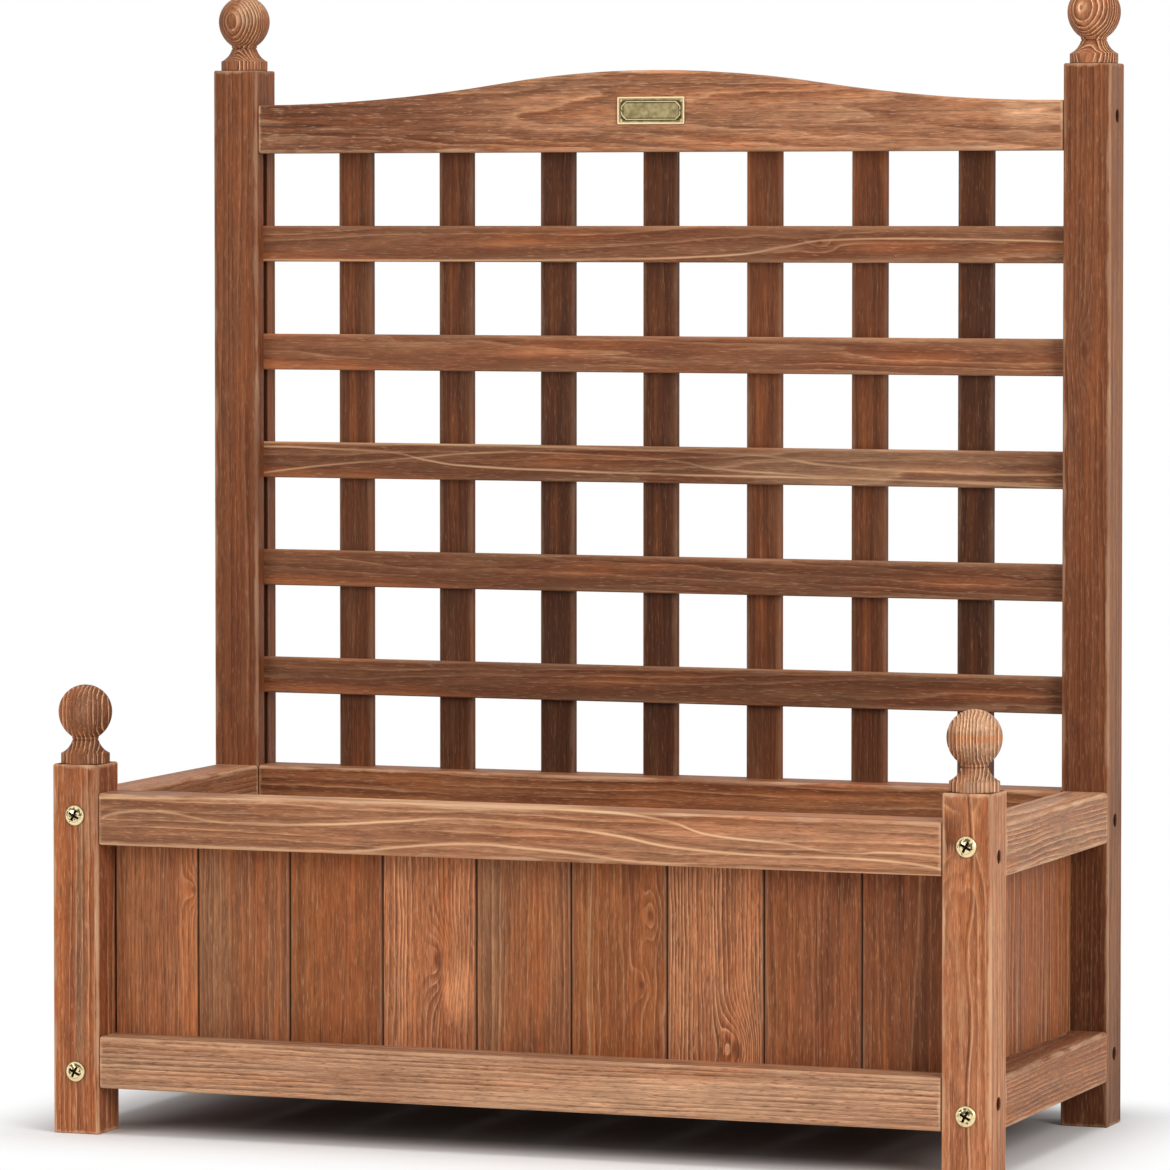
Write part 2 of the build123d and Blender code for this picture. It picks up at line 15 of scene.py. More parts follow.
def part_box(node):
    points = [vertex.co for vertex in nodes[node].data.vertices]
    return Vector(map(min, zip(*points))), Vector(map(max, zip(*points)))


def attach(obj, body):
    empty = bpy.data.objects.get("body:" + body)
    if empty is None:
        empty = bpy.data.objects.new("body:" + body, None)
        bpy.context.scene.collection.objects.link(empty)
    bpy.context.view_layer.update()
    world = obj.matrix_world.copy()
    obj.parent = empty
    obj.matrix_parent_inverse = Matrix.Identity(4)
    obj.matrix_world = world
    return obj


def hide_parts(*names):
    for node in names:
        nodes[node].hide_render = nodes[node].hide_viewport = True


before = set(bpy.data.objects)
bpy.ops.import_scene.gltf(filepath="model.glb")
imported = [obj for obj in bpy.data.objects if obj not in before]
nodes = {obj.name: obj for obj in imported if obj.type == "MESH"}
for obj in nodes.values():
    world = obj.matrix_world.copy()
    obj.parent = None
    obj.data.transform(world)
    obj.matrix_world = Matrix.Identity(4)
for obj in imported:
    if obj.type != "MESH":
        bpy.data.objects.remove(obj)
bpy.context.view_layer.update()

MM = 0.001
TO_MM = (1 / MM,) * 3

# The photograph's camera, in pixels of its 1170 px frame.
PHOTO_PX = 1170.0
FOCAL_PX = 6466.795
HORIZON_SHIFT_PX = -100.0
CAMERA_AT = (1.473822, -3.937704, 0.591401)
CAMERA_TURN = 0.359
CAMERA_DIP = 0.04079
SENSOR_MM = 36.0


# Colour and shader nodes

def stain(code):
    """An sRGB hex colour as the linear colour that a shader takes."""
    parts = [int(code[i:i + 2], 16) / 255 for i in (1, 3, 5)]
    linear = [p / 12.92 if p <= 0.04045 else ((p + 0.055) / 1.055) ** 2.4 for p in parts]
    return (*linear, 1.0)


def shown_socket(sockets, key):
    """The socket with that place or name; names count only the sockets in use."""
    if isinstance(key, int):
        return sockets[key]
    return next(s for s in sockets if s.enabled and s.name == key)


def add(tree, kind, inputs=(), **settings):
    """Adds one shader node with its settings, and sets or links its inputs."""
    made = tree.nodes.new("ShaderNode" + kind)
    for setting, value in settings.items():
        setattr(made, setting, value)
    pairs = inputs.items() if isinstance(inputs, dict) else enumerate(inputs)
    for key, value in pairs:
        socket = shown_socket(made.inputs, key)
        if isinstance(value, bpy.types.Node):
            value = next(s for s in value.outputs if s.enabled)
        if isinstance(value, bpy.types.NodeSocket):
            tree.links.new(value, socket)
        else:
            socket.default_value = value
    return made


def new_finish(name):
    """An empty material and its node tree."""
    finish = bpy.data.materials.new(name)
    finish.use_nodes = True
    finish.node_tree.nodes.clear()
    return finish, finish.node_tree


def lay_over(tree, colour, layers):
    """Lays stains over a colour one after another, each by its own share."""
    for share, code in layers:
        colour = add(tree, "Mix", {"Factor": share, "A": colour, "B": stain(code)},
                     data_type="RGBA")
    return colour


# Wood

# The stain soaks deep into soft fir, so each piece has two grounds, a lit and a dull one;
# the hard late wood stays as dark lines, and sanding leaves cream lines beside them.
GROUNDS = {
    "russet": ("#A4613B", "#8B4C2D"),
    "brown": ("#9E6642", "#7F4A2E"),
    "amber": ("#A46237", "#8D4F30"),
    "tan": ("#B3734C", "#935636"),
    "umber": ("#8B502F", "#6D3C22"),
    "rail": ("#B27C5A", "#956345"),
    "sand": ("#B88C6C", "#9C6F53"),
    "honey": ("#B8875A", "#96603A"),
    "dull": ("#84563A", "#6C4029"),
}
LATE_WOOD = "#5A2F1B"
CREAM = "#EDBE92"
# Pale for rubbed edges, flecks and worn patches, and also for painted light on the finials, the
# front right post and the arch rail.
WORN_AND_HIGHLIGHT = "#E2B48C"
PORE = "#4A2413"
# Dark brown for knot cores, and also for painted shade on the finials, the front left post and the
# arch rail.
KNOT_AND_SHADE = "#572A16"
GLOW = "#C0703E"
SHADE = "#3A1D10"
GREYED = "#8A6B50"

# Patterns of the wood: length along the grain and width across it in mm, a shift that sets
# each apart from the others, detail and roughness. Real fibres and pores are about 0.1 mm
# wide; they are drawn near 0.8 mm wide, so that they show.
PATTERNS = {
    "wander": (170, 34, (0, 0, 0), 2.0, 0.5),
    "ripple": (32, 7, (40, 0, 0), 2.0, 0.5),
    "figure": (110, 14, (31, 7, 3), 2.0, 0.5),
    "band": (260, 13, (5, 11, 2), 3.0, 0.5),
    "warmth": (160, 16, (50, 20, 9), 2.0, 0.5),
    "streak": (150, 1.8, (9, 4, 6), 2.0, 0.6),
    "blotch": (30, 7.0, (2, 9, 4), 3.0, 0.5),
    "fibre": (13, 0.8, (0, 0, 0), 3.0, 0.65),
    "pore": (8, 0.75, (17, 3, 8), 1.0, 0.5),
}
# A ring's width varies over these lengths, along the log and across it.
RING_DRIFT = (400, 11)
# How far in the log one board or slat of a row is from the next.
LOG_STEP = 613.7


class Timber:
    """One wooden piece's shader tree, half sizes, and places in mm in its own grain."""

    def __init__(self, tree, low, high, grain, seed, repeat):
        self.tree = tree
        size = {axis: (high[i] - low[i]) / 2 / MM for i, axis in enumerate("XYZ")}
        self.half_long, self.half_wide, self.half_deep = (size[axis] for axis in grain)
        middle = [(high[i] + low[i]) / 2 for i in range(3)]
        place = add(tree, "TexCoord").outputs["Object"]
        centred = add(tree, "VectorMath", [place, middle], operation="SUBTRACT")
        in_mm = add(tree, "VectorMath", [centred, TO_MM], operation="MULTIPLY")
        split = add(tree, "SeparateXYZ", [in_mm])
        self.along, self.across, self.deep = (split.outputs[axis] for axis in grain)
        log_place = float(seed)
        if repeat:
            log_place = self.split_into_row(log_place, *repeat)
        self.place = add(tree, "CombineXYZ", [self.along, self.across, self.deep])
        further = add(tree, "Math", [self.along, log_place], operation="ADD")
        self.in_log = add(tree, "CombineXYZ", [further, self.across, self.deep])
        self.patterns = {}
        for name, (length, width, shift, detail, rough) in PATTERNS.items():
            scale = (1 / length, 1 / width, 1 / width)
            stretched = add(tree, "Mapping", {"Vector": self.in_log, "Location": shift,
                                              "Scale": scale})
            self.patterns[name] = add(tree, "TexNoise", {
                "Vector": stretched, "Scale": 1.0, "Detail": detail, "Roughness": rough})

    def split_into_row(self, log_place, pitch, count):
        """Measures across from the middle of each piece of a row, each from its own log."""
        tree = self.tree
        half_step = pitch / 2 if count % 2 == 0 else 0.0
        shift = add(tree, "Math", [self.across, half_step], operation="ADD")
        share = add(tree, "Math", [shift, pitch], operation="DIVIDE")
        index = add(tree, "Math", [share], operation="ROUND")
        start = add(tree, "Math", [index, pitch], operation="MULTIPLY")
        self.across = add(tree, "Math", [shift, start], operation="SUBTRACT").outputs[0]
        self.half_wide = pitch / 2
        return add(tree, "Math", [index, LOG_STEP, log_place], operation="MULTIPLY_ADD")


def bent_grain(wood, wander):
    """The places in the piece, swayed in mm by a slow wander and a quicker ripple."""
    tree, bent = wood.tree, wood.place
    for pattern, sway in (("wander", 4 * wander), ("ripple", 0.9 * wander)):
        noise = wood.patterns[pattern].outputs["Color"]
        drift = add(tree, "VectorMath", [noise, (0.5,) * 3], operation="SUBTRACT")
        drift = add(tree, "VectorMath", [drift, (0.0, sway, sway)], operation="MULTIPLY")
        bent = add(tree, "VectorMath", [bent, drift], operation="ADD")
    return bent


def reach_from(tree, bent, along, across, reach_along, reach_across):
    """Distance from a spot on the shown face, 1 at its reach along and across the grain."""
    off = add(tree, "VectorMath", [bent, (along, across, 0)], operation="SUBTRACT")
    scaled = add(tree, "VectorMath", [off, (1 / reach_along, 1 / reach_across, 0)],
                 operation="MULTIPLY")
    return add(tree, "VectorMath", [scaled], operation="LENGTH").outputs["Value"]


def growth_rings(wood, bent, rings, heart, lean, knots):
    """The hard late wood, the line where the next ring starts, and the knots' cores."""
    tree = wood.tree
    in_log = add(tree, "Mapping", {"Vector": bent, "Location": (0, -heart[0], -heart[1]),
                                   "Rotation": (0, -lean[1], lean[0])})
    flat = add(tree, "VectorMath", [in_log, (0, 1, 1)], operation="MULTIPLY")
    radius = add(tree, "VectorMath", [flat], operation="LENGTH").outputs["Value"]

    # Knots push the rings aside and carry their own small dark core.
    knot_core = None
    for along, across, size in knots:
        reach = reach_from(tree, bent, along, across, 2 * size, size)
        squared = add(tree, "Math", [reach, reach], operation="MULTIPLY")
        fall = add(tree, "Math", [squared, -0.3], operation="MULTIPLY")
        swell = add(tree, "Math", [fall], operation="EXPONENT")
        radius = add(tree, "Math", [swell, 2.2 * size, radius], operation="MULTIPLY_ADD")
        core = add(tree, "MapRange", [reach, 0.2, 0.7, 0.6, 0.0],
                   interpolation_type="SMOOTHSTEP")
        if knot_core:
            core = add(tree, "Math", [core, knot_core], operation="MAXIMUM")
        knot_core = core

    # One ring: soft early wood that darkens into the hard late wood, then a sharp return.
    length, width = RING_DRIFT
    stretched = add(tree, "Mapping", {"Vector": in_log,
                                      "Scale": (1 / length, 1 / width, 1 / width)})
    uneven = add(tree, "TexNoise", {"Vector": stretched, "Scale": 1.0, "Detail": 1.0,
                                    "Roughness": 0.5})
    even = add(tree, "Math", [radius, 1 / rings], operation="MULTIPLY")
    phase = add(tree, "Math", [uneven, 1.8, even], operation="MULTIPLY_ADD")
    ring = add(tree, "Math", [phase], operation="FRACT")
    rise = add(tree, "MapRange", [ring, 0.3, 0.84, 0.0, 1.0], interpolation_type="SMOOTHSTEP")
    fall = add(tree, "MapRange", [ring, 0.9, 1.0, 1.0, 0.0])
    late_wood = add(tree, "Math", [rise, fall], operation="MULTIPLY")
    early_line = add(tree, "MapRange", [ring, 0.0, 0.26, 1.0, 0.0])
    return late_wood, early_line, knot_core


def ground_layers(wood, bent, light_ground, tints):
    """Broad bands of the lighter ground, warm and greyed patches, and set tints."""
    tree, patterns = wood.tree, wood.patterns
    banded = add(tree, "MapRange", [patterns["band"], 0.34, 0.66, 0.0, 1.0])
    warm = add(tree, "MapRange", [patterns["warmth"], 0.52, 0.7, 0.0, 0.35])
    cool = add(tree, "MapRange", [patterns["warmth"], 0.46, 0.3, 0.0, 0.22])
    layers = [(banded, light_ground), (warm, GLOW), (cool, GREYED)]
    for along, across, reach_along, reach_across, code, strength in tints:
        reach = reach_from(tree, bent, along, across, reach_along, reach_across)
        share = add(tree, "MapRange", [reach, 0.5, 1.1, strength, 0.0],
                    interpolation_type="SMOOTHSTEP")
        layers.append((share, code))
    return layers


def ring_layers(wood, late_wood, early_line, late, cream):
    """Dark late wood and cream lines, which come and go along the piece."""
    tree, figure = wood.tree, wood.patterns["figure"]
    show = add(tree, "MapRange", [figure, 0.34, 0.62, 0.3, 1.0])
    dark = add(tree, "Math", [late_wood, show], operation="MULTIPLY")
    dark = add(tree, "Math", [dark, late], operation="MULTIPLY")
    show = add(tree, "MapRange", [figure, 0.4, 0.56, 0.0, 1.0])
    pale = add(tree, "Math", [early_line, show], operation="MULTIPLY")
    pale = add(tree, "Math", [pale, cream], operation="MULTIPLY")
    pale = add(tree, "Math", [pale, 0.95], operation="MINIMUM")
    return [(dark, LATE_WOOD), (pale, CREAM)]


def fibre_value(wood, fibre, dim):
    """How light the wood is from spot to spot: streaks, fibres and blotches of stain."""
    tree, value = wood.tree, None
    for pattern, start, stop, middle, swing in (("streak", 0.36, 0.64, 1.0, 0.12 * fibre),
                                                ("fibre", 0.34, 0.66, 1.0, 0.2 * fibre),
                                                ("blotch", 0.3, 0.7, dim, 0.16 * dim)):
        part = add(tree, "MapRange", [wood.patterns[pattern], start, stop,
                                      middle - swing, middle + swing])
        if value:
            part = add(tree, "Math", [value, part], operation="MULTIPLY")
        value = part
    return value


def line_layers(wood, bent, lines):
    """Single grain lines that stand out, each on its own route along the piece."""
    tree = wood.tree
    weak = add(tree, "MapRange", [wood.patterns["figure"], 0.4, 0.6, 1.0, 0.35])
    swayed = add(tree, "VectorMath", [bent, wood.place], operation="SUBTRACT")
    sway = add(tree, "SeparateXYZ", [swayed]).outputs["Y"]
    sway = add(tree, "Math", [sway, 0.35], operation="MULTIPLY")
    steady = add(tree, "Math", [wood.across, sway], operation="ADD")
    layers = []
    for route, width, code, strength in lines:
        share = add(tree, "MapRange", [wood.along, -wood.half_long, wood.half_long, 0.0, 1.0])
        curve = add(tree, "FloatCurve", {"Value": share})
        path = curve.mapping.curves[0]
        while len(path.points) < len(route):
            path.points.new(0.5, 0.5)
        for point, (along, across) in zip(path.points, route):
            point.location = (0.5 + along / wood.half_long / 2,
                              0.5 + across / wood.half_wide / 2)
        curve.mapping.update()
        centre = add(tree, "MapRange", [curve, 0.0, 1.0, -wood.half_wide, wood.half_wide])
        gap = add(tree, "Math", [steady, centre], operation="SUBTRACT")
        gap = add(tree, "Math", [gap], operation="ABSOLUTE")
        mark = add(tree, "MapRange", [gap, 0.2 * width, 0.9 * width, strength, 0.0])
        mark = add(tree, "Math", [mark, weak], operation="MULTIPLY")
        layers.append((mark, code))
    return layers


def edge_layers(wood, wear, soak, bored, end_line):
    """Rubbed pale edges; darker board edges and joints, which soaked up more stain; bore walls
    darker, partly by stain and partly by painted shade.
    """
    tree, patterns = wood.tree, wood.patterns
    gaps = []
    for place, half in ((wood.along, wood.half_long), (wood.across, wood.half_wide),
                        (wood.deep, wood.half_deep)):
        off = add(tree, "Math", [place], operation="ABSOLUTE")
        gaps.append(add(tree, "Math", [half, off], operation="SUBTRACT"))
    to_end, to_side, to_face = gaps
    nearest = add(tree, "Math", [to_side, to_face], operation="MINIMUM")
    long_edge = add(tree, "Math", [to_side, to_face], operation="ADD")
    end_edge = add(tree, "Math", [to_end, nearest], operation="ADD")
    edge = add(tree, "Math", [long_edge, end_edge], operation="MINIMUM")
    uneven = add(tree, "MapRange", [patterns["blotch"], 0.3, 0.7, -1.2, 1.2])
    edge = add(tree, "Math", [edge, uneven], operation="ADD")
    uneven = add(tree, "MapRange", [patterns["fibre"], 0.34, 0.66, -0.6, 0.6])
    edge = add(tree, "Math", [edge, uneven], operation="ADD")
    rub = add(tree, "MapRange", [edge, 0.9, 2.6, wear, 0.0])
    show = add(tree, "MapRange", [patterns["figure"], 0.35, 0.6, 0.3, 1.0])
    rub = add(tree, "Math", [rub, show], operation="MULTIPLY")
    layers = [(rub, WORN_AND_HIGHLIGHT)]
    # bored darkens every surface more than about 1 mm inside the piece's faces, such as the walls of
    # bores: partly stain, partly painted shade.
    for gap, start, stop, at_start, at_stop in ((to_side, 0.35, 1.0, soak, 0.0),
                                                (nearest, 0.4, 1.0, 0.0, bored),
                                                (to_end, 0.55, 1.1, end_line, 0.0)):
        if at_start or at_stop:
            dark = add(tree, "MapRange", [gap, start, stop, at_start, at_stop])
            layers.append((dark, SHADE))
    return layers


def fir(name, low, high, grain, seed, ground, rings=3.4, heart=(40, -30), lean=(0.0, 0.0),
        wander=2.0, late=0.6, cream=0.3, fibre=1.0, pores=0.45, wear=0.6, soak=0.0,
        end_line=0.0, bored=0.0, knots=(), lines=(), tints=(), repeat=None, dim=1.0):
    """Sawn, brushed or turned fir with a rubbed-in brown stain.

    It looks matt and warm, with dark late wood, cream lines where the sanding cut through
    the stain, short open pores and edges rubbed pale.

    grain names the axes along it, across the shown face and into the piece, and sizes are
    in mm from the piece's middle along those. rings is the ring pitch, and heart the place
    of the tree's heart, across and into the piece. lean tilts the piece in the log, which
    draws cathedral arches. knots are (along, across, size), lines are (route, width,
    colour, strength) and tints are (along, across, reach along, reach across, colour,
    strength). repeat is the pitch and the count of a row of pieces in one node.
    """
    finish, tree = new_finish(name)
    wood = Timber(tree, low, high, grain, seed, repeat)
    bent = bent_grain(wood, wander)
    late_wood, early_line, knot_core = growth_rings(wood, bent, rings, heart, lean, knots)

    light_ground, dark_ground = GROUNDS[ground]
    colour = lay_over(tree, stain(dark_ground), ground_layers(wood, bent, light_ground, tints))
    colour = lay_over(tree, colour, ring_layers(wood, late_wood, early_line, late, cream))
    colour = add(tree, "HueSaturation", {"Value": fibre_value(wood, fibre, dim),
                                         "Color": colour})
    pore = wood.patterns["pore"]
    open_pore = add(tree, "MapRange", [pore, 0.62, 0.7, 0.0, pores])
    pale_fleck = add(tree, "MapRange", [pore, 0.38, 0.3, 0.0, 0.6 * pores])
    layers = [(open_pore, PORE), (pale_fleck, WORN_AND_HIGHLIGHT), *line_layers(wood, bent, lines)]
    if knot_core:
        layers.append((knot_core, KNOT_AND_SHADE))
    layers += edge_layers(wood, wear, soak, bored, end_line)
    colour = lay_over(tree, colour, layers)

    # Brushed relief: soft early wood lies lower, pores are open.
    hard = add(tree, "Math", [late_wood, 0.05], operation="MULTIPLY")
    relief = add(tree, "Math", [wood.patterns["fibre"], 0.14, hard], operation="MULTIPLY_ADD")
    relief = add(tree, "Math", [pore, -0.10, relief], operation="MULTIPLY_ADD")
    bump = add(tree, "Bump", {"Strength": 0.7, "Distance": MM, "Height": relief})
    rough = add(tree, "MapRange", [wood.patterns["blotch"], 0.3, 0.7, 0.52, 0.68])
    surface = add(tree, "BsdfPrincipled", {"Base Color": colour, "Roughness": rough,
                                           "Specular IOR Level": 0.15, "Normal": bump})
    add(tree, "OutputMaterial", {"Surface": surface})
    return finish


def dress(node, finish):
    """Gives a frame node its finish."""
    slots = nodes[node].data.materials
    slots.clear()
    slots.append(finish)


def dress_wood(node, grain, seed, ground, **looks):
    """Gives a wooden frame node a fir finish of its own, laid out in the node's box."""
    low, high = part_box(node)
    dress(node, fir("fir_stained_" + node, low, high, grain, seed, ground, **looks))


# Rows of pieces that share one node, by the step from one to the next in mm
BOARD_PITCH = 64.5
SLAT_PITCH = 71.2
SLAT_COUNT = 8
SIDE_BOARDS = 4

# Posts: darker on the walls of their bores, partly stain soaked into the end grain and partly
# painted shade in these hollows
dress_wood("front_left_post", "ZXY", 11, "russet", bored=0.9, heart=(60, -20), rings=4.2, late=0.5,
           wander=1.8, cream=0.4,
           tints=((0, -15, 160, 9, GLOW, 0.5), (0, 3, 110, 5, GREYED, 0.5),
                  # The dark tint along the right side face is painted shade.
                  (0, 18, 200, 3.2, KNOT_AND_SHADE, 0.45), (85, 9, 30, 6, WORN_AND_HIGHLIGHT, 0.25)))
dress_wood("front_right_post", "ZXY", 23, "tan", bored=0.9, heart=(-4, -26), rings=5.0, late=0.45,
           lean=(0.0, 0.012), wander=2.2, cream=0.25, knots=((95, -9, 8),),
           tints=((95, -9, 17, 8, KNOT_AND_SHADE, 0.5), (95, -8, 6, 4, GLOW, 0.5),
                  # The pale tint along the right side face is painted light.
                  (0, 18, 200, 4, WORN_AND_HIGHLIGHT, 0.2)),
           lines=(([(-120, 1), (-60, 0), (-20, 2), (20, -1), (60, 3), (120, 1)],
                   1.3, LATE_WOOD, 0.8),
                  ([(-120, 2.6), (-60, 1.8), (-20, 3.8), (20, 1), (60, 5), (120, 3)],
                   0.9, CREAM, 0.4)))
# The rear posts' low dim values are partly painted shade, as less light reaches the back.
dress_wood("rear_left_post", "ZXY", 37, "russet", bored=0.9, heart=(45, 30), rings=3.4, late=0.5,
           wander=1.5, cream=0.15, wear=0.35, pores=0.2,
           dim=0.56)
dress_wood("rear_right_post", "ZXY", 41, "russet", bored=0.9, heart=(-50, -35), rings=3.6, late=0.45,
           wander=1.5, cream=0.15, wear=0.35, pores=0.2, dim=0.5, knots=((160, 0, 5),),
           # Painted shade darkens the lower part of the post, and painted light makes its right side
           # face paler.
           tints=((-330, 0, 260, 60, SHADE, 0.45), (0, 18, 600, 4, "#C98A62", 0.75)))

# Rails. The front one's pale and dark figure lines run as in the photograph: each is
# a route of places along and across, a width, a colour and a strength.
TOP_LINES = (
    ([(-285, -3), (-249, 6.2), (-190, 0.2), (-75, 5.7), (-33, 8.5), (18, 6.2), (65, 2.4),
      (113, -4.4), (180, -8), (230, -7.9), (285, -12.6)], 1.3, CREAM, 0.8),
    ([(-285, 14), (60, 16), (104, 12.2), (137, 4), (180, 1), (231, -4.4), (246, -3.3),
      (285, -4.6)], 1.2, CREAM, 0.75),
    ([(-285, -16), (-120, -15), (-75, -10.8), (-25, -7.5), (8, -8.8), (41, -10.4),
      (105, -15.3), (285, -16.6)], 1.2, CREAM, 0.7),
    ([(-285, 1), (-249, 9.2), (-190, 3.5), (-75, 9.4), (-33, 12), (18, 9.5), (65, 6),
      (113, -1), (180, -4.6), (230, -5), (285, -9)], 1.5, LATE_WOOD, 0.5),
    ([(-285, -13), (-120, -12), (-75, -8.4), (-25, -5), (8, -6.2), (41, -8), (105, -12.8),
      (285, -15)], 1.3, LATE_WOOD, 0.45),
)
dress_wood("front_top_rail", "XZY", 53, "rail", heart=(-46, -28), rings=5.2, late=0.45,
           lean=(0.004, 0.01), wander=2.6, cream=0.35, end_line=0.85, lines=TOP_LINES,
           # The darker left end is painted shade, as the light comes from the right.
           tints=((-250, 0, 150, 40, "#7E5338", 0.5),), dim=0.95)
dress_wood("front_bottom_rail", "XZY", 67, "sand", heart=(150, 45), rings=3.1, late=0.6,
           wander=0.7, cream=0.3, pores=0.6, end_line=0.85, tints=((60, -4, 150, 20, WORN_AND_HIGHLIGHT, 0.25),))
dress_wood("back_top_rail", "XZY", 71, "brown", heart=(-20, 35), rings=3.6, end_line=0.8)
dress_wood("back_bottom_rail", "XZY", 79, "russet", heart=(30, -40), rings=3.1, end_line=0.8)
dress_wood("left_top_rail", "YZX", 83, "rail", heart=(30, 20), rings=3.8, end_line=0.8)
dress_wood("left_bottom_rail", "YZX", 89, "russet", heart=(-30, 28), rings=3.1, end_line=0.8)
dress_wood("right_top_rail", "YZX", 97, "sand", heart=(-60, 25), rings=3.8, late=0.45,
           cream=0.5, end_line=0.85, wear=0.75)
dress_wood("right_bottom_rail", "YZX", 101, "rail", heart=(-120, 35), rings=3.0, late=0.5,
           wander=1.0, cream=0.3, end_line=0.85, dim=0.97,
           tints=((0, 17, 200, 2.6, KNOT_AND_SHADE, 0.55),))
dress_wood("arch_rail", "XZY", 107, "rail", heart=(0, 30), rings=4.2, late=0.6,
           lean=(0.02, 0.03), wander=2.6, cream=0.25, end_line=0.8, fibre=1.35, dim=0.9,
           # The broad darker left end is painted shade, as the light comes from the right; the paler
           # right end near the top edge is partly rubbed wear and partly painted highlight.
           tints=((-260, 0, 170, 60, KNOT_AND_SHADE, 0.6), (265, 0, 30, 20, WORN_AND_HIGHLIGHT, 0.3),
                  (-262, -9, 42, 1.8, SHADE, 0.6), (-250, -15, 48, 1.5, SHADE, 0.55),
                  (-255, -2, 36, 1.7, SHADE, 0.5), (-270, 3, 26, 1.2, SHADE, 0.4)))

# Trellis: the crossbars from the top down, the uprights from left to right
CROSSBAR_TONES = (0.9, 0.93, 0.87, 1.21, 1.06)
# Pale figure lines on the middle bar, and a paler right half
CROSSBAR_FIGURES = {
    3: dict(lines=(([(-285, 9), (-200, 7), (-165, 1), (-130, -3), (-60, -5), (0, -6),
                     (285, -9)], 1.1, CREAM, 0.5),
                   ([(-285, -9), (-170, 3), (-100, 7), (-40, 6), (20, 2), (40, -2),
                     (285, -11)], 1.0, CREAM, 0.4),
                   ([(-285, 12), (60, 8), (120, 1), (180, -2), (250, -3), (285, -2)],
                    1.3, CREAM, 0.45)),
            tints=((150, 0, 130, 18, WORN_AND_HIGHLIGHT, 0.22),)),
    5: dict(lines=(([(-285, -11), (40, -8), (90, -2), (130, 3), (200, 4), (285, 2)],
                    1.1, CREAM, 0.5),),
            knots=((115, 0, 2.5),)),
}
for row, tone in enumerate(CROSSBAR_TONES, 1):
    dress_wood(f"trellis_crossbar_{row}", "XZY", 120 + 17 * row, "dull",
               **CROSSBAR_FIGURES.get(row, {}),
               heart=(14 * (-1) ** row, 9 + 3 * row), rings=4.0, late=0.5,
               lean=(0.01 * (-1) ** row, 0.015), wander=2.2, cream=0.15, wear=0.18,
               pores=0.25, dim=tone)
# The uprights' low tones are partly their darker stain and partly painted shade, as they stand back
# behind the crossbars, further from the light.
UPRIGHT_TONES = (0.66, 0.55, 0.4, 0.43, 0.74, 0.64, 0.31)
for column, tone in enumerate(UPRIGHT_TONES, 1):
    dress_wood(f"trellis_upright_{column}", "ZXY", 310 + 29 * column, "umber",
               heart=(30 * (-1) ** column, 12), rings=3.2, late=0.4, cream=0.05, wear=0.12,
               pores=0.12, dim=tone)

# Panel boards, left to right: each board's ground and looks
BOARDS = (
    ("brown", dict(heart=(90, -30), rings=2.6, late=0.4, cream=0.15, dim=1.2,
                    knots=((33, 26, 3),), tints=((0, 24, 90, 9, GLOW, 0.35),))),
    ("brown", dict(heart=(-70, -40), rings=3.6, late=0.35, cream=0.2, dim=0.94,
                   tints=((0, -20, 90, 14, GREYED, 0.25), (0, 8, 60, 12, GLOW, 0.25)),
                   lines=(([(-72, 22), (0, 24), (72, 25)], 2.0, GLOW, 0.7),))),
    ("amber", dict(heart=(60, -70), rings=4.5, late=0.25, cream=0.1, dim=0.77,
                   tints=((0, 6, 90, 20, GLOW, 0.3),))),
    ("tan", dict(heart=(80, -20), rings=3.1, late=0.6, cream=0.35, pores=0.5, dim=1.05,
                 knots=((-6, 6, 6),), tints=((-24, 19, 26, 11, "#D08A5C", 0.8),))),
    ("brown", dict(heart=(-75, -35), rings=3.6, late=0.4, cream=0.2, dim=0.88,
                   tints=((0, -22, 90, 10, GREYED, 0.35), (10, 2, 70, 12, GLOW, 0.25)))),
    ("amber", dict(heart=(50, -50), rings=3.9, late=0.35, dim=0.78,
                   knots=((-16, 14, 3), (28, 21, 4)),
                   lines=(([(-72, -19), (0, -20), (72, -18)], 0.9, CREAM, 0.5),))),
    ("tan", dict(heart=(95, -25), rings=2.5, late=0.75, cream=0.5, pores=0.5, dim=0.94,
                 knots=((-54, 13, 6),))),
    ("russet", dict(heart=(-60, -45), rings=4.2, late=0.4, cream=0.15, dim=0.62,
                    tints=((0, -18, 90, 12, GLOW, 0.3), (60, 20, 30, 8, SHADE, 0.4)))),
    ("umber", dict(heart=(70, -60), rings=5.5, late=0.25, cream=0.1, dim=0.8,
                   lines=(([(-72, 2), (0, 6), (72, 9)], 1.2, WORN_AND_HIGHLIGHT, 0.4),))),
)
for place, (ground, looks) in enumerate(BOARDS, 1):
    looks = {"pores": 0.3, **looks}
    dress_wood(f"front_board_{place}", "ZXY", 540 + 37 * place, ground, wear=0.12,
               soak=0.75, fibre=1.2, **looks)
for place in range(1, SIDE_BOARDS + 1):
    dress_wood(f"left_board_{place}", "ZYX", 910 + 31 * place, "brown", wear=0.15, soak=0.7,
               heart=(-40, 60), rings=3.8)
    dress_wood(f"right_board_{place}", "ZYX", 1110 + 31 * place, "amber", wear=0.15,
               soak=0.7, heart=(40, 60), rings=3.8, late=0.5)
dress_wood("back_boards", "ZXY", 1310, "brown", wear=0.15, soak=0.7, heart=(70, 40),
           rings=3.8, repeat=(BOARD_PITCH, len(BOARDS)))
dress_wood("floor_slats", "YXZ", 1410, "russet", wear=0.4, heart=(50, 30), rings=3.6,
           repeat=(SLAT_PITCH, SLAT_COUNT))
dress_wood("front_floor_cleat", "XZY", 1510, "brown")
dress_wood("back_floor_cleat", "XZY", 1610, "brown")


# Turned finials: the frame's own profile cut finer, in mm, each from its own stick of wood

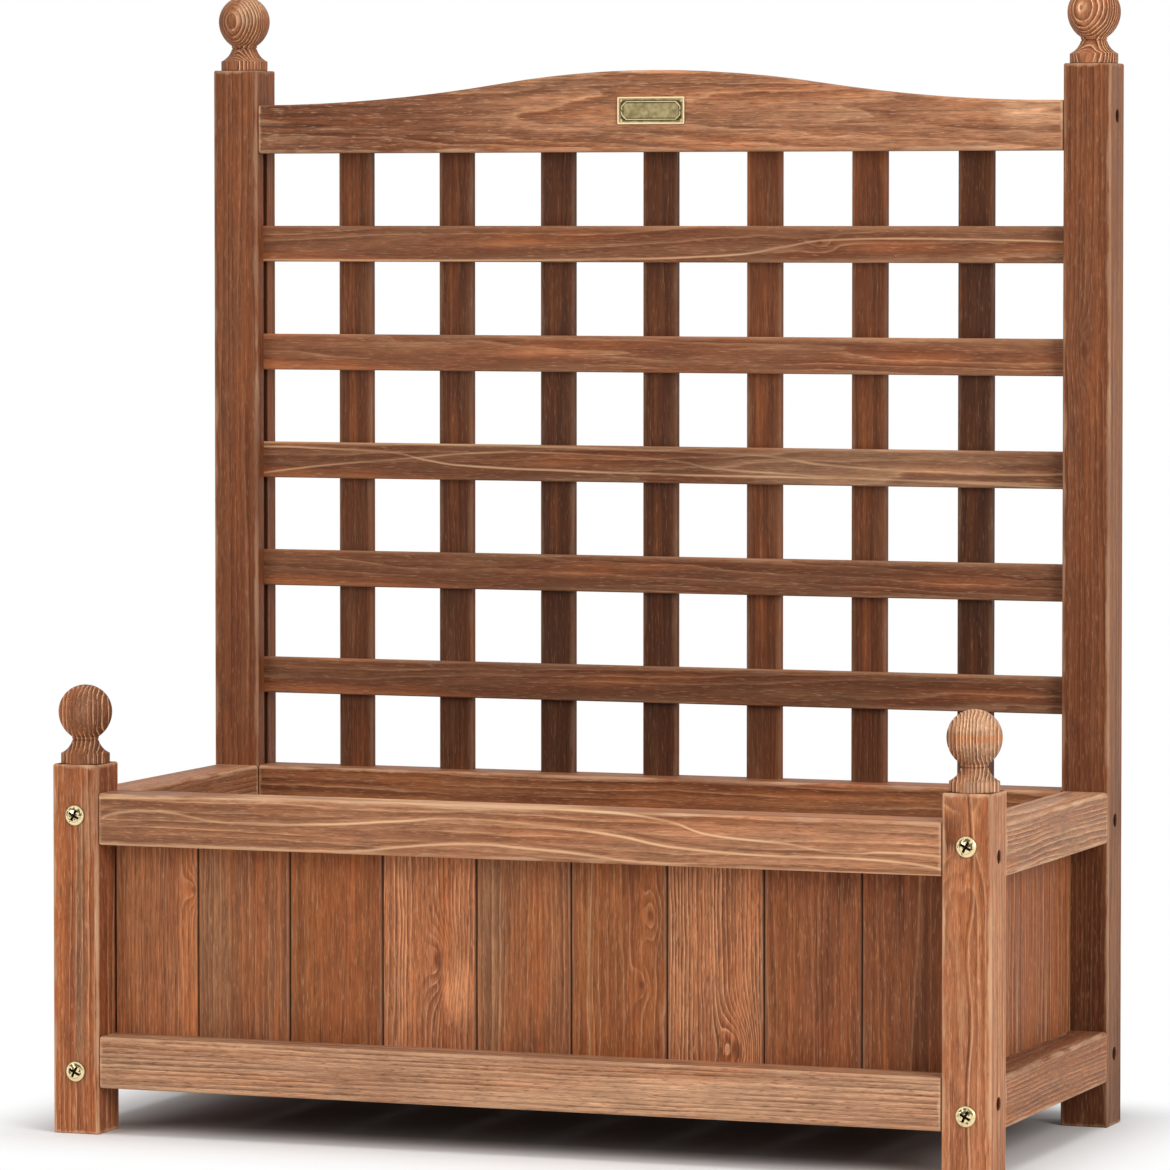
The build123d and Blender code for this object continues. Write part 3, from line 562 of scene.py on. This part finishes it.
BALL_R = 17.39
BALL_Z = 33.5
BALL_FOOT_Z = 17.1
NECK_R = 8.6
CREASE_R = 7.9
CREASE_Z = 15.2
CREASE_RISE = 0.6
COVE = ((15.6, 6.5), (11.05, 10.0), (8.6, 14.6))
COLLAR_R = 15.8
COLLAR_H = 6.2
COLLAR_EASE = 0.5
DOWEL_BORE_R = 4.0
DOWEL_BORE_H = 14.0
PIN_R = 0.6
PIN_MOUTH_OUT = 11.8
PIN_MOUTH_Z = 9.3
PIN_CUT = 2.5
PIN_SLOPE = 15.0
PIN_TURN = 25.0

# How finely the curves are cut
COVE_STEPS = 14
LOW_BALL_STEPS = 16
HIGH_BALL_STEPS = 24
FINIAL_SIDES = 120
PIN_SIDES = 16
BOSS_SIDES = 24
ON_AXIS = 1e-6
SHARP_DEGREES = 28


def arc(first, middle, last, steps):
    """Points of the circle through three points, from the first to the last."""
    (ax, ay), (bx, by), (cx, cy) = first, middle, last
    span = 2 * (ax * (by - cy) + bx * (cy - ay) + cx * (ay - by))
    a2, b2, c2 = ax * ax + ay * ay, bx * bx + by * by, cx * cx + cy * cy
    mid_x = (a2 * (by - cy) + b2 * (cy - ay) + c2 * (ay - by)) / span
    mid_y = (a2 * (cx - bx) + b2 * (ax - cx) + c2 * (bx - ax)) / span
    start = math.atan2(ay - mid_y, ax - mid_x)
    sweep = math.atan2(cy - mid_y, cx - mid_x) - start
    sweep = (sweep + math.pi) % (2 * math.pi) - math.pi
    radius = math.hypot(ax - mid_x, ay - mid_y)
    angles = [start + sweep * i / steps for i in range(steps + 1)]
    return [(mid_x + radius * math.cos(t), mid_y + radius * math.sin(t)) for t in angles]


def ball_half(end, steps):
    """The ball's outline from its equator, where it stands upright, to one end point."""
    radius = ((BALL_R - end[0]) ** 2 + (BALL_Z - end[1]) ** 2) / 2 / (BALL_R - end[0])
    middle_x = BALL_R - radius
    sweep = math.atan2(end[1] - BALL_Z, end[0] - middle_x)
    angles = [sweep * i / steps for i in range(steps + 1)]
    return [(middle_x + radius * math.cos(t), BALL_Z + radius * math.sin(t)) for t in angles]


def finial_profile():
    """Radius and height from the dowel's bore, round the collar, cove and neck, to the top."""
    low = ball_half((NECK_R, BALL_FOOT_Z), LOW_BALL_STEPS)[::-1]
    high = ball_half((0.0, BALL_Z + BALL_R), HIGH_BALL_STEPS)[1:]
    return [(0, DOWEL_BORE_H), (DOWEL_BORE_R, DOWEL_BORE_H), (DOWEL_BORE_R, 0),
            (COLLAR_R - COLLAR_EASE, 0), (COLLAR_R, COLLAR_EASE), (COLLAR_R, COLLAR_H),
            *arc(*COVE, COVE_STEPS), (CREASE_R, CREASE_Z), (NECK_R, CREASE_Z + CREASE_RISE),
            *low, *high]


def lathe(name, profile, sides):
    """A mesh turned about Z from radius and height points in mm that start on the axis."""
    mesh = bmesh.new()
    rings = []
    for radius, height in profile:
        if radius < ON_AXIS:
            rings.append([mesh.verts.new((0, 0, height * MM))])
            continue
        turn = [2 * math.pi * i / sides for i in range(sides)]
        rings.append([mesh.verts.new((radius * MM * math.cos(t), radius * MM * math.sin(t),
                                      height * MM)) for t in turn])
    for lower, upper in zip(rings, rings[1:]):
        for i in range(sides):
            j = (i + 1) % sides
            corners = [lower[i % len(lower)], lower[j % len(lower)],
                       upper[j % len(upper)], upper[i % len(upper)]]
            mesh.faces.new(list(dict.fromkeys(corners)))
    bmesh.ops.recalc_face_normals(mesh, faces=mesh.faces)
    made = bpy.data.meshes.new(name)
    mesh.to_mesh(made)
    mesh.free()
    return made


def place_piece(name, mesh, finish):
    """Links a mesh as a piece with its finish, smooth but for its sharper edges."""
    mesh.shade_smooth()
    mesh.set_sharp_from_angle(angle=math.radians(SHARP_DEGREES))
    mesh.materials.clear()
    mesh.materials.append(finish)
    piece = bpy.data.objects.new(name, mesh)
    bpy.context.scene.collection.objects.link(piece)
    return piece


def pin_hole(foot):
    """A fine rod through the mouth of a finial's pin hole, to be cut out."""
    turn = math.radians(PIN_TURN)
    slope = math.radians(PIN_SLOPE)
    up = Vector((0, 0, 1))
    outwards = Vector((math.sin(turn), -math.cos(turn), 0))
    axis = outwards * math.sin(slope) + up * math.cos(slope)
    mouth = foot + (outwards * PIN_MOUTH_OUT + up * PIN_MOUTH_Z) * MM
    rod = lathe("pin_hole", [(0, -PIN_CUT), (PIN_R, -PIN_CUT), (PIN_R, PIN_CUT), (0, PIN_CUT)],
                PIN_SIDES)
    tilt = up.rotation_difference(axis).to_matrix().to_4x4()
    rod.transform(Matrix.Translation(mouth) @ tilt)
    holder = bpy.data.objects.new("pin_hole", rod)
    bpy.context.scene.collection.objects.link(holder)
    return holder


def turned_finial(corner, seed, looks):
    """One finial with the mouth of its pin hole, in place of the frame's coarser one."""
    node = corner + "_finial"
    low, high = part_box(node)
    foot = Vector(((low[0] + high[0]) / 2, (low[1] + high[1]) / 2, low[2]))
    blank = lathe(node, finial_profile(), FINIAL_SIDES)
    blank.transform(Matrix.Translation(foot))
    finish = fir("fir_turned_" + node, low, high, "ZXY", seed, wear=0.0, wander=0.9,
                 pores=0.4, fibre=0.9, **looks)
    uncut = place_piece(node + "_blank", blank, finish)
    hole = pin_hole(foot)
    cut = uncut.modifiers.new("pin_hole", "BOOLEAN")
    cut.operation = "DIFFERENCE"
    cut.object = hole
    cut.solver = "EXACT"
    bored = bpy.data.meshes.new_from_object(
        uncut.evaluated_get(bpy.context.evaluated_depsgraph_get()))
    for spare in (uncut, hole):
        bpy.data.objects.remove(spare)
    finial = place_piece(corner + "_turned_finial", bored, finish)
    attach(finial, "root")
    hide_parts(node)


# The heart's side decides the figure: off to one side it gives upright lines, and towards
# the front it gives a bull's eye.
# The finials' tints are painted light and shade on the balls: the front left one paler on the left
# and darker on the right, the front right one paler on top, orange at the equator and darker below,
# the rear left one darker low on the left and paler at the top right, and the rear right one darker
# on the right.
FINIAL_LOOKS = {
    "front_left": dict(ground="dull", heart=(-70, -26), rings=3.0, late=0.75, dim=1.14,
                       cream=0.7, tints=((8, -14, 30, 7, GLOW, 0.5), (0, 17, 60, 11, KNOT_AND_SHADE, 0.5))),
    "front_right": dict(ground="sand", heart=(-65, -24), rings=2.4, late=0.85, dim=1.0,
                        cream=1.3, tints=((8, 0, 3, 30, GLOW, 0.6), (-6, 0, 9, 30, KNOT_AND_SHADE, 0.35),
                                          (20, 0, 9, 30, WORN_AND_HIGHLIGHT, 0.35))),
    "rear_left": dict(ground="tan", heart=(-8, -69), rings=2.0, late=0.85, dim=0.78,
                      cream=1.2, tints=((-4, -14, 30, 7, KNOT_AND_SHADE, 0.4), (14, 8, 12, 9, WORN_AND_HIGHLIGHT, 0.5))),
    "rear_right": dict(ground="tan", heart=(-12, -69), lean=(0.0, -0.16), rings=2.3,
                       late=0.85, cream=1.2, dim=0.95,
                       tints=((-2, 14, 30, 7, KNOT_AND_SHADE, 0.4),)),
}
for turn_number, (corner, looks) in enumerate(FINIAL_LOOKS.items()):
    turned_finial(corner, 1700 + 57 * turn_number, looks)


# Fasteners

GRIT_MM = 1.2
BOLT_X = 301.5
BOLT_ZS = (40.5, 207.0)
POST_FACE_Y = 146.0
HEAD_R = 6.5
RIM_R = 6.0
# Painted dark reflections on a head reach out to this radius, in patches of this size.
DARK_REFLECTION_R = 5.2
DARK_REFLECTION_MM = 1.9
RECESS_REACH = 4.3
RECESS_TOP = 2.15


def metal(name, colour, rough):
    """One even metal, with a grit in its shine that is drawn coarse enough to show."""
    finish, tree = new_finish(name)
    place = add(tree, "TexCoord").outputs["Object"]
    grit = add(tree, "TexNoise", {"Vector": place, "Scale": 1 / (GRIT_MM * MM),
                                  "Detail": 3.0})
    spread = add(tree, "MapRange", [grit, 0.3, 0.7, rough - 0.05, rough + 0.08])
    surface = add(tree, "BsdfPrincipled", {"Base Color": stain(colour), "Metallic": 1.0,
                                           "Roughness": spread})
    add(tree, "OutputMaterial", {"Surface": surface})
    return finish


def bolt_finish():
    """Polished brass plating over steel: pale gold, with painted shade, near black, in the cross
    recess.

    A real domed head mirrors the room as dark flecks in its upper half. Here they are
    painted into the colour as dark reflections, with a dark line round the rim.
    """
    finish, tree = new_finish("brass_plated_polished")
    place = add(tree, "TexCoord").outputs["Object"]
    in_mm = add(tree, "VectorMath", [place, TO_MM], operation="MULTIPLY")
    split = add(tree, "SeparateXYZ", [in_mm])

    # The place on the nearest head: out from its middle, up from it, and proud of the post.
    off_x = add(tree, "Math", [split.outputs["X"]], operation="ABSOLUTE")
    off_x = add(tree, "Math", [off_x, BOLT_X], operation="SUBTRACT")
    above_low, above_high = (add(tree, "Math", [split.outputs["Z"], z], operation="SUBTRACT")
                             for z in BOLT_ZS)
    in_upper_row = add(tree, "Math", [split.outputs["Z"], sum(BOLT_ZS) / 2],
                       operation="GREATER_THAN")
    off_z = add(tree, "Mix", {"Factor": in_upper_row, "A": above_low, "B": above_high})
    flat = add(tree, "CombineXYZ", [off_x, 0.0, off_z])
    reach = add(tree, "VectorMath", [flat], operation="LENGTH").outputs["Value"]
    proud = add(tree, "Math", [split.outputs["Y"]], operation="ABSOLUTE")
    proud = add(tree, "Math", [proud, POST_FACE_Y], operation="SUBTRACT")

    # Painted shade fills the cross recess.
    inside = add(tree, "MapRange", [reach, RECESS_REACH, RECESS_REACH + 0.2, 1.0, 0.0])
    sunk = add(tree, "MapRange", [proud, RECESS_TOP, RECESS_TOP + 0.3, 1.0, 0.0])
    recess_shade = add(tree, "Math", [inside, sunk], operation="MULTIPLY")
    # Painted dark reflections of the room, over the upper half of each head.
    spots = add(tree, "TexNoise", {"Vector": place, "Scale": 1 / (DARK_REFLECTION_MM * MM),
                                   "Detail": 2.0})
    dark_reflection = add(tree, "Math", [off_z, 0.02, spots], operation="MULTIPLY_ADD")
    dark_reflection = add(tree, "MapRange", [dark_reflection, 0.52, 0.56, 0.0, 0.9])
    near = add(tree, "MapRange", [reach, DARK_REFLECTION_R, RIM_R, 1.0, 0.0])
    dark_reflection = add(tree, "Math", [dark_reflection, near], operation="MULTIPLY")
    rim = add(tree, "MapRange", [reach, RIM_R, HEAD_R, 0.0, 0.75])
    dark = add(tree, "Math", [recess_shade, dark_reflection], operation="MAXIMUM")
    dark = add(tree, "Math", [dark, rim], operation="MAXIMUM")

    colour = lay_over(tree, stain("#F8E2B0"), [(dark, "#241A0C")])
    rough = add(tree, "MapRange", [dark, 0.0, 1.0, 0.2, 0.5])
    surface = add(tree, "BsdfPrincipled", {"Base Color": colour, "Metallic": 1.0,
                                           "Roughness": rough})
    add(tree, "OutputMaterial", {"Surface": surface})
    return finish


dress("frame_bolts", bolt_finish())
# Turned brass is warm yellow and fairly bright.
dress("bolt_inserts", metal("brass_turned", "#C9A85E", 0.3))
# Drawn brass pins dulled with the plate are a dark olive.
dress("plate_pins", metal("brass_drawn_dulled", "#6F6845", 0.4))
# Steel coloured near black as painted shade, so that the sunk screws read as dark holes.
dress("rail_screws", metal("steel_dark_painted_shade", "#3A2B22", 0.5))
# Zinc plating is a light, slightly warm grey.
dress("floor_screws", metal("steel_zinc_plated_floor", "#A9A59B", 0.35))
# Plain drawn steel wire is a duller grey.
for node, steel in (("trellis_brads", "steel_drawn"), ("panel_brads", "steel_drawn_panel"),
                    ("finial_pins", "steel_drawn_pin")):
    dress(node, metal(steel, "#8E8A84", 0.4))
# The dowels sit out of sight: pale wood without worn edges.
dress_wood("finial_dowels", "ZXY", 1900, "honey", wear=0.0)


# Blank brass plate: a pale rim, a fine inner bead with clipped corners and corner bosses

RIM_W = 1.1
RIM_H = 0.5
PLATE_CORNER = 0.5
PLATE_SOFT = 0.12
BEAD_INSET = 2.9
BEAD_W = 0.55
BEAD_H = 0.38
BEAD_CLIP = 3.2
BEAD_INNER_CLIP = BEAD_CLIP - 0.4 * BEAD_W
BOSS_INSET = 2.4
BOSS_R = 1.15
# A boss's radius and height, from its foot over a rounded rim into a shallow dish
BOSS = [(0, 0.02), (BOSS_R, 0.02), (BOSS_R, 0.2), (BOSS_R - 0.25, 0.36), (0.35, 0.3),
        (0.2, 0.16), (0, 0.16)]
# How far raised parts reach into the plate
SEAT = 0.05
PATINA_MM = 4.0
PLATE_GRIT_MM = 0.5

plate_low, plate_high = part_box("name_plate")
plate_middle = Vector((low + high) / 2 for low, high in zip(plate_low, plate_high))
plate_half_w = (plate_high[0] - plate_low[0]) / 2 / MM
plate_half_h = (plate_high[2] - plate_low[2]) / 2 / MM
plate_thick = (plate_high[1] - plate_low[1]) / MM - RIM_H
plate_back = Vector((plate_middle.x, plate_high[1], plate_middle.z))
# The plate is built lying on its back, then stood up against the rail.
STAND_UP = Matrix.Translation(plate_back) @ Matrix.Rotation(math.pi / 2, 4, "X")


def clipped(half_w, half_h, clip):
    """Eight corners of an oblong with its corners cut off, in mm."""
    return [(half_w - clip, -half_h), (half_w, clip - half_h), (half_w, half_h - clip),
            (half_w - clip, half_h), (clip - half_w, half_h), (-half_w, half_h - clip),
            (-half_w, clip - half_h), (clip - half_w, -half_h)]


def band_between(mesh, outer, inner, back, front):
    """A flat band with two walls; outlines in mm, back and front as heights in mm."""
    loops = [[mesh.verts.new((x * MM, z * MM, h * MM)) for x, z in line]
             for line, h in ((outer, back), (outer, front), (inner, front), (inner, back))]
    for one, other in zip(loops, loops[1:] + loops[:1]):
        for i in range(len(one)):
            j = (i + 1) % len(one)
            mesh.faces.new((one[i], one[j], other[j], other[i]))


def plate_finish():
    """Die-struck brass, antiqued: dark olive wax in the hollows, pale where it is rubbed."""
    finish, tree = new_finish("brass_struck_antiqued")
    place = add(tree, "TexCoord").outputs["Object"]
    patina = add(tree, "TexNoise", {"Vector": place, "Scale": 1 / (PATINA_MM * MM),
                                    "Detail": 4.0})
    mottle = add(tree, "MapRange", [patina, 0.35, 0.65, 0.0, 1.0])

    # Dark wax stays beside the raised inner line.
    off = add(tree, "VectorMath", [place, plate_middle], operation="SUBTRACT")
    off = add(tree, "VectorMath", [off], operation="ABSOLUTE")
    bead_at = ((plate_half_w - BEAD_INSET) * MM, 0, (plate_half_h - BEAD_INSET) * MM)
    off = add(tree, "VectorMath", [off, bead_at], operation="SUBTRACT")
    split = add(tree, "SeparateXYZ", [off])
    line = add(tree, "Math", [split.outputs["X"], split.outputs["Z"]], operation="MAXIMUM")
    line = add(tree, "Math", [line, -BEAD_W * MM / 2], operation="SUBTRACT")
    line = add(tree, "Math", [line], operation="ABSOLUTE")
    wax = add(tree, "MapRange", [line, 0.5 * MM, 1.5 * MM, 0.9, 0.0])

    # The field lies a rim's height behind the front.
    height = add(tree, "SeparateXYZ", [place]).outputs["Y"]
    front_y, field_y = plate_low[1], plate_low[1] + RIM_H * MM
    rubbed = add(tree, "MapRange", [height, field_y - 0.06 * MM, front_y + 0.1 * MM, 0.0, 1.0])
    colour = lay_over(tree, stain("#6E6244"), [(mottle, "#938661"), (wax, "#2E2713"),
                                               (rubbed, "#CDB68C")])

    grit = add(tree, "TexNoise", {"Vector": place, "Scale": 1 / (PLATE_GRIT_MM * MM),
                                  "Detail": 2.0})
    rough = add(tree, "MapRange", [grit, 0.3, 0.7, 0.28, 0.5])
    bump = add(tree, "Bump", {"Strength": 0.3, "Distance": 0.1 * MM, "Height": grit})
    surface = add(tree, "BsdfPrincipled", {"Base Color": colour, "Metallic": 1.0,
                                           "Roughness": rough, "Normal": bump})
    add(tree, "OutputMaterial", {"Surface": surface})
    return finish


def plate_mesh():
    """The plate's body with its raised rim, and the inner bead."""
    body = bmesh.new()
    outline = clipped(plate_half_w, plate_half_h, PLATE_CORNER)
    field = clipped(plate_half_w - RIM_W, plate_half_h - RIM_W, PLATE_CORNER / 2)
    band_between(body, outline, field, 0.0, plate_thick + RIM_H)
    for height in (0.0, plate_thick):
        body.faces.new([body.verts.new((x * MM, z * MM, height * MM)) for x, z in field])
    bmesh.ops.remove_doubles(body, verts=body.verts, dist=0.001 * MM)
    bead_out = clipped(plate_half_w - BEAD_INSET, plate_half_h - BEAD_INSET, BEAD_CLIP)
    bead_in = clipped(plate_half_w - BEAD_INSET - BEAD_W, plate_half_h - BEAD_INSET - BEAD_W,
                      BEAD_INNER_CLIP)
    band_between(body, bead_out, bead_in, plate_thick - SEAT, plate_thick + BEAD_H)
    bmesh.ops.recalc_face_normals(body, faces=body.faces)
    mesh = bpy.data.meshes.new("name_plate")
    body.to_mesh(mesh)
    body.free()
    mesh.transform(STAND_UP)
    return mesh


brass = plate_finish()
plate = place_piece("blank_brass_plate", plate_mesh(), brass)
soften = plate.modifiers.new("soft_edges", "BEVEL")
soften.width = PLATE_SOFT * MM
soften.segments = 2
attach(plate, "root")
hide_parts("name_plate")
for side, across in (("left", -1), ("right", 1)):
    for end, up in (("bottom", -1), ("top", 1)):
        mesh = lathe("plate_boss", BOSS, BOSS_SIDES)
        at = Vector(((plate_half_w - BOSS_INSET) * across, (plate_half_h - BOSS_INSET) * up,
                     plate_thick - SEAT)) * MM
        mesh.transform(STAND_UP @ Matrix.Translation(at))
        boss = place_piece(f"plate_boss_{side}_{end}", mesh, brass)
        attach(boss, "root")


# Studio

# About half of the planter's width and depth, from where the floor's shadow fades out
FOOTPRINT = (0.3, 0.15)
SHADOW_FADE = 0.11
# The floor under the box is painted darker, since the real one there gets less light.
SHADE_Y = -0.14
SHADE_SOFT = 0.06
SHADE_X = (0.2, 0.32)
FLOOR_SIZE = 24
WORLD_LIGHT = 0.35
WHITE = (1, 1, 1, 1)


def floor_finish():
    """White studio paint that keeps the shadow near the planter and is plain white beyond."""
    finish, tree = new_finish("studio_floor_painted")
    place = add(tree, "TexCoord").outputs["Object"]
    off = add(tree, "VectorMath", [place], operation="ABSOLUTE")
    side = add(tree, "SeparateXYZ", [off]).outputs["X"]
    off = add(tree, "VectorMath", [off, (*FOOTPRINT, 0)], operation="SUBTRACT")
    off = add(tree, "VectorMath", [off, (0, 0, 0)], operation="MAXIMUM")
    far = add(tree, "VectorMath", [off], operation="LENGTH").outputs["Value"]
    fade = add(tree, "MapRange", [far, 0.0, SHADOW_FADE, 0.0, 1.0],
               interpolation_type="SMOOTHSTEP")
    ray = add(tree, "LightPath")
    seen = add(tree, "Math", [ray.outputs["Is Camera Ray"], ray.outputs["Is Glossy Ray"]],
               operation="MAXIMUM")
    seen = add(tree, "Math", [seen, fade], operation="MULTIPLY")
    deep = add(tree, "SeparateXYZ", [place]).outputs["Y"]
    behind = add(tree, "MapRange", [deep, SHADE_Y, SHADE_Y + SHADE_SOFT, 0.0, 1.0])
    between = add(tree, "MapRange", [side, *SHADE_X, 1.0, 0.0])
    under = add(tree, "Math", [behind, between], operation="MULTIPLY")
    tone = lay_over(tree, stain("#F4F4F4"), [(under, "#9A9A9A")])
    paint = add(tree, "BsdfDiffuse", {"Color": tone})
    glow = add(tree, "Emission", {"Color": WHITE, "Strength": 1.0})
    both = add(tree, "MixShader", [seen, paint, glow])
    add(tree, "OutputMaterial", {"Surface": both})
    return finish


bpy.ops.mesh.primitive_plane_add(size=FLOOR_SIZE)
floor = bpy.context.object
floor.name = "floor"
floor.data.materials.append(floor_finish())

# The world is white to the camera and in the metal's shine, and lights the planter less.
world = bpy.data.worlds.new("studio")
bpy.context.scene.world = world
world.use_nodes = True
sky = world.node_tree
sky.nodes.clear()
ray = add(sky, "LightPath")
seen = add(sky, "Math", [ray.outputs["Is Camera Ray"], ray.outputs["Is Glossy Ray"]],
           operation="MAXIMUM")
strength = add(sky, "MapRange", [seen, 0.0, 1.0, WORLD_LIGHT, 1.0])
backdrop = add(sky, "Background", [WHITE, strength])
add(sky, "OutputWorld", {"Surface": backdrop})

# Where each soft box stands, what it looks at, its width and height in m, its power in W
SOFT_BOXES = {
    "soft_box_top": ((0.1, -0.3, 2.2), (0, 0, 0.2), 1.6, 1.2, 22),
    "soft_box_right": ((2.2, -1.5, 1.2), (0, 0, 0.25), 1.0, 1.4, 46),
    "soft_box_left": ((-1.9, -2.5, 1.1), (0, 0, 0.3), 1.8, 1.4, 22),
}
for name, (at, aim, width, height, power) in SOFT_BOXES.items():
    lamp = bpy.data.lights.new(name, "AREA")
    lamp.shape = "RECTANGLE"
    lamp.size = width
    lamp.size_y = height
    lamp.energy = power
    soft_box = bpy.data.objects.new(name, lamp)
    soft_box.location = at
    soft_box.rotation_euler = (Vector(aim) - Vector(at)).to_track_quat("-Z", "Y").to_euler()
    bpy.context.scene.collection.objects.link(soft_box)

lens = bpy.data.cameras.new("photo_camera")
lens.sensor_width = SENSOR_MM
lens.lens = SENSOR_MM * FOCAL_PX / PHOTO_PX
lens.shift_y = HORIZON_SHIFT_PX / PHOTO_PX
camera = bpy.data.objects.new("photo_camera", lens)
camera.location = CAMERA_AT
camera.rotation_euler = (math.pi / 2 - CAMERA_DIP, 0, CAMERA_TURN)
bpy.context.scene.collection.objects.link(camera)
bpy.context.scene.camera = camera
bpy.context.scene.view_settings.view_transform = "Standard"
